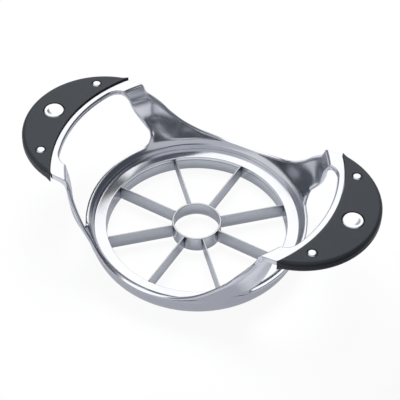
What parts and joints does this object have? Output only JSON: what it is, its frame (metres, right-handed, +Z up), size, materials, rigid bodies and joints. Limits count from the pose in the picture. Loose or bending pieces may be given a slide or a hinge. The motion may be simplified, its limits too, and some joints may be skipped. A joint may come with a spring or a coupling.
{
  "type": "fruit slicer",
  "caption": "Polished cast ring with thin radial blades and a core cutter, flaring up into two raised crescent grips; pushed down over an apple to core and wedge it.",
  "frame": {"origin": "centre of the ring's flat bottom face, on the surface that the slicer stands on", "axes": "+Z up, against the push of cutting; +X towards one of the two handles; Y across the handles"},
  "size_m": [0.188, 0.1142, 0.0523],
  "materials": {
    "casting": "polished zinc casting, mirror bright",
    "blade_steel": "satin stainless steel",
    "grip": "fine matt charcoal plastic, softly rounded edges",
    "rivet": "polished steel rivet heads"
  },
  "bodies": {
    "root": {"frame": "casting", "blade_band": "blade_steel", "core_ring": "blade_steel", "blade_1": "blade_steel", "blade_2": "blade_steel", "blade_3": "blade_steel", "blade_4": "blade_steel", "blade_5": "blade_steel", "blade_6": "blade_steel", "blade_7": "blade_steel", "blade_8": "blade_steel", "grip_upper_right": "grip", "grip_lower_right": "grip", "rivet_large_right": "rivet", "rivet_small_right_1": "rivet", "rivet_small_right_2": "rivet", "grip_upper_left": "grip", "grip_lower_left": "grip", "rivet_large_left": "rivet", "rivet_small_left_1": "rivet", "rivet_small_left_2": "rivet"}
  },
  "joints": []
}
